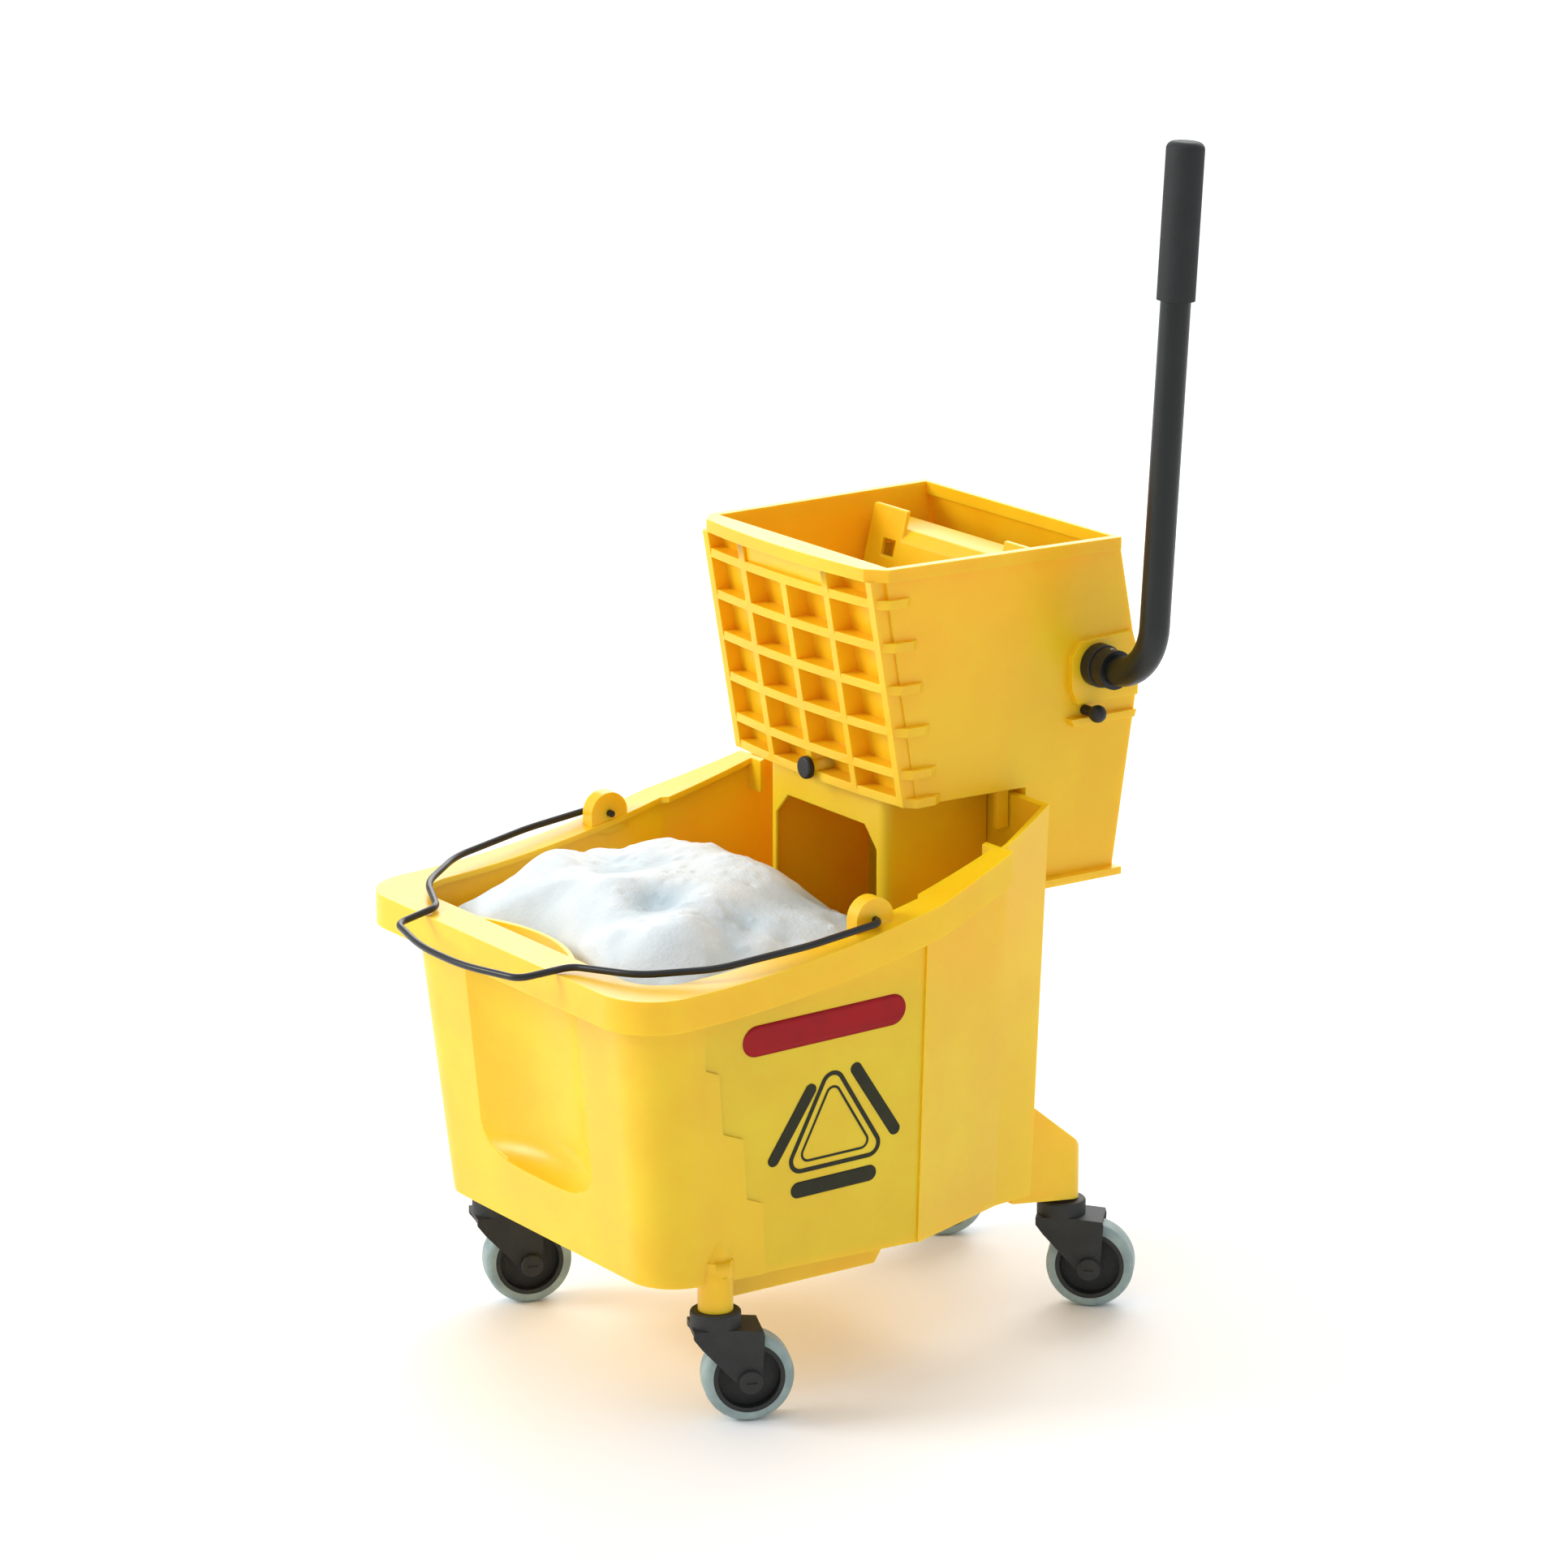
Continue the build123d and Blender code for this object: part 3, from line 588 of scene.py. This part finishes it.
@dataclass
class SideMarks:
    """Plain printed shapes on the right side's label panel, with no lettering."""

    palette: Palette
    recess: float = 2.0
    film: float = 0.12
    # The panel's height range, and each line's place at its foot with its lean over the height.
    foot_z: float = 110.0
    tall: float = 240.0
    corner_x: tuple[float, float] = (158.0, 20.0)
    corner_y: tuple[float, float] = (-216.0, -24.0)
    break_x: tuple[float, float] = (173.0, 10.0)
    break_y: float = 13.0

    def wall(self, y: np.ndarray, z: np.ndarray) -> np.ndarray:
        """Gives the panel's surface, which is ruled between the front corner and the break line.

        At each height the corner and the break lie on two straight lines that lean outwards,
        and the surface is straight from one to the other.

        Args:
            y: Along the bucket, in millimetres.
            z: Height, in millimetres.

        Returns:
            How far out the surface is, in millimetres.
        """
        up = (z - self.foot_z) / self.tall
        lines = (self.corner_x, self.corner_y, self.break_x)
        corner_x, corner_y, break_x = (foot + lean * up for foot, lean in lines)
        along = (y - corner_y) / (self.break_y - corner_y)
        return corner_x + (break_x - corner_x) * along - self.recess

    def stroke(
        self, name: str, path: np.ndarray, width: float, closed: bool, surface: Surface
    ) -> bpy.types.Object:
        """Prints a stroke: a band of even width carried along a path on the wall.

        The band lies half its width to each side of the path, square to it. An open band's
        ends are round: its width there falls as the root of 1 less the distance squared.

        Args:
            name: The piece's name.
            path: Points along the wall, y and z in millimetres.
            width: The band's width in millimetres.
            closed: Whether the path joins up.
            surface: The ink.

        Returns:
            The piece, riding on the bucket.
        """
        along = np.gradient(path, axis=0)
        if closed:
            along = (np.roll(path, -1, axis=0) - np.roll(path, 1, axis=0)) / 2
        along /= np.linalg.norm(along, axis=1, keepdims=True)
        across = np.stack([-along[:, 1], along[:, 0]], axis=1)
        half = np.full(len(path), width / 2)
        if not closed:
            run = np.concatenate([[0], np.cumsum(np.linalg.norm(np.diff(path, axis=0), axis=1))])
            near = np.minimum(run, run[-1] - run) / (width / 2)
            half = half * np.sqrt(1 - np.clip(1 - near, 0, 1) ** 2 * 0.99)
        sides = np.linspace(-1, 1, 7)
        band = path[None] + sides[:, None, None] * (half[:, None] * across)[None]
        y, z = band[..., 0], band[..., 1]
        x = self.wall(y, z) + self.film
        points = np.stack([x, y, z], axis=-1).reshape(-1, 3) / 1000 + SHIFT
        faces = grid_faces(len(sides), len(path), wrap=closed)
        piece = make_piece(name, points, faces.tolist(), self.palette.get(surface))
        piece.data.update()
        if piece.data.polygons[0].normal.x < 0:
            piece.data.flip_normals()
        ink = piece.modifiers.new("ink_film", "SOLIDIFY")
        ink.thickness = self.film / 1000 * 0.8
        ink.offset = -1
        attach(piece, "bucket")
        return piece

    def rounded_triangle(self, corners: np.ndarray, radius: float) -> np.ndarray:
        """Walks round a triangle whose corners are arcs.

        Args:
            corners: Its three corners, y and z in millimetres, in order.
            radius: The arcs' radius in millimetres.

        Returns:
            Points round it, evenly spaced.
        """
        pieces = []
        for k in range(3):
            here, before, after = corners[k], corners[k - 1], corners[(k + 1) % 3]
            back = (before - here) / np.linalg.norm(before - here)
            on = (after - here) / np.linalg.norm(after - here)
            half = math.acos(float(back @ on)) / 2
            middle = here + (back + on) / np.linalg.norm(back + on) * radius / math.sin(half)
            run = radius / math.tan(half)
            start, end = here + back * run, here + on * run
            a0 = math.atan2(*(start - middle)[::-1])
            turn = (math.atan2(*(end - middle)[::-1]) - a0 + math.pi) % (2 * math.pi) - math.pi
            angle = a0 + turn * np.linspace(0, 1, 14)
            pieces.append(middle + radius * np.stack([np.cos(angle), np.sin(angle)], axis=1))
        loop = np.concatenate(pieces)
        gaps = np.linalg.norm(np.roll(loop, -1, axis=0) - loop, axis=1)
        run = np.concatenate([[0], np.cumsum(gaps)])
        even = np.linspace(0, run[-1], 180, endpoint=False)
        shut = np.vstack([loop, loop[:1]])
        return np.stack([np.interp(even, run, shut[:, k]) for k in (0, 1)], axis=1)

    def bar(self, start: tuple[float, float], end: tuple[float, float]) -> np.ndarray:
        """Gives a straight path's points, from start to end, closer together at both ends.

        Each point's share of the way is half of 1 less the cosine of an evenly growing angle.

        Args:
            start: Where it begins, y and z in millimetres.
            end: Where it ends.

        Returns:
            The points, one a row.
        """
        share = (1 - np.cos(np.linspace(0, math.pi, 60))) / 2
        return np.array(start) + share[:, None] * (np.array(end) - np.array(start))

    def build(self) -> list[bpy.types.Object]:
        """Prints a red bar, a double triangle and three plain bars.

        Returns:
            The printed pieces.
        """
        outer = np.array([(-69, 272), (-18, 190), (-108, 187)], float)
        middle = outer.mean(axis=0)
        inner = middle + (outer - middle) * 0.74
        red, black = Surface.RED_INK, Surface.BLACK_INK
        marks = [
            ("mark_red_bar", self.bar((-150, 299), (-4, 304)), 25, False, red),
            ("mark_triangle_outer", self.rounded_triangle(outer, 9), 3.6, True, black),
            ("mark_triangle_inner", self.rounded_triangle(inner, 6), 2.0, True, black),
            ("mark_bar_lower", self.bar((-102, 172), (-26, 175)), 13, False, black),
            ("mark_bar_left", self.bar((-121, 196), (-85, 256)), 10, False, black),
            ("mark_bar_right", self.bar((-50, 266), (-8, 203)), 10, False, black),
        ]
        return [
            self.stroke(name, path, width, closed, ink) for name, path, width, closed, ink in marks
        ]


@dataclass
class Studio:
    """The pale floor, the soft lights and the camera."""

    lens: float = 133.86
    eye: tuple[float, float, float] = (3.5887, -2.4510, 1.6173)
    back: tuple[float, float, float] = (0.7942, -0.5487, 0.2610)
    floor_half: float = 18.0
    target: tuple[float, float, float] = (0.0, 0.0, 0.4)

    def floor(self) -> None:
        """Lays a level floor, half a millimetre under the wheels."""
        u = np.linspace(-1, 1, 9) * self.floor_half
        x, y = np.meshgrid(u, u, indexing="ij")
        points = np.stack([x, y, np.full_like(x, -0.0005)], axis=-1).reshape(-1, 3)
        paper = Finish(
            "white_seamless_paper", "FDFDFD", "FBFBFB", (0.85, 0.95), 5.0, 0.0, 800
        ).build()
        piece = make_piece("floor", points, grid_faces(9, 9)[:, ::-1].tolist(), paper)

    def light(
        self, name: str, place: tuple[float, float, float], size: float, power: float
    ) -> None:
        """Hangs a square soft light that faces the object.

        Args:
            name: The light's name.
            place: Where it hangs, in metres.
            size: Its side in metres.
            power: Its power in watts.
        """
        data = bpy.data.lights.new(name, "AREA")
        data.size, data.energy = size, power
        lamp = bpy.data.objects.new(name, data)
        lamp.location = place
        aim = Vector(self.target) - Vector(place)
        lamp.rotation_euler = aim.to_track_quat("-Z", "Y").to_euler()
        bpy.context.scene.collection.objects.link(lamp)

    def camera(self) -> None:
        """Stands the camera at the front right, a little above the rim."""
        data = bpy.data.cameras.new("camera")
        data.lens, data.sensor_width, data.clip_end = self.lens, 36.0, 100.0
        view = bpy.data.objects.new("camera", data)
        view.location = self.eye
        view.rotation_euler = (-Vector(self.back)).to_track_quat("-Z", "Y").to_euler()
        bpy.context.scene.collection.objects.link(view)
        bpy.context.scene.camera = view

    def build(self) -> None:
        """Sets the stage."""
        self.floor()
        self.light("key_front_left", (-1.8, -3.0, 2.2), 1.5, 84)
        self.light("fill_right", (3.4, 1.2, 1.6), 2.2, 2)
        self.light("top", (0.0, 0.0, 3.4), 2.0, 14)
        self.light("rim_back", (-1.6, 3.0, 2.4), 1.6, 45)
        self.light("far_floor", (-8.0, 5.5, 5.0), 6.0, 360)
        world = bpy.data.worlds.new("studio_air")
        world.use_nodes = True
        world.node_tree.nodes["Background"].inputs["Color"].default_value = linear("FCFDFE")
        world.node_tree.nodes["Background"].inputs["Strength"].default_value = 0.72
        bpy.context.scene.world = world
        bpy.context.scene.view_settings.view_transform = "Standard"
        self.camera()


def dress_frame(palette: Palette) -> None:
    """Gives every CAD node the material of its slot.

    Args:
        palette: The materials.
    """
    for entry in frame["record"]["subparts"]:
        node = frame["nodes"][entry["node"]]
        material = palette.get(SLOT_SURFACES[entry["material_slot"]])
        if not node.material_slots:
            node.data.materials.append(material)
        for place in node.material_slots:
            place.link = "OBJECT"
            place.material = material


def main() -> None:
    """Builds the object in order and logs each piece."""
    logging.basicConfig(level=logging.INFO, format="%(message)s")
    palette = Palette()
    dress_frame(palette)
    LOG.info("dressed %d nodes", len(frame["nodes"]))
    for piece in Mouldings(palette).build():
        LOG.info("moulding %s: %d faces", piece.name, len(piece.data.polygons))
    suds = Suds(palette).build()
    LOG.info("suds: %d faces", len(suds.data.polygons))
    for piece in SideMarks(palette).build():
        LOG.info("mark %s", piece.name)
    Studio().build()


if __name__ == "__main__":
    main()
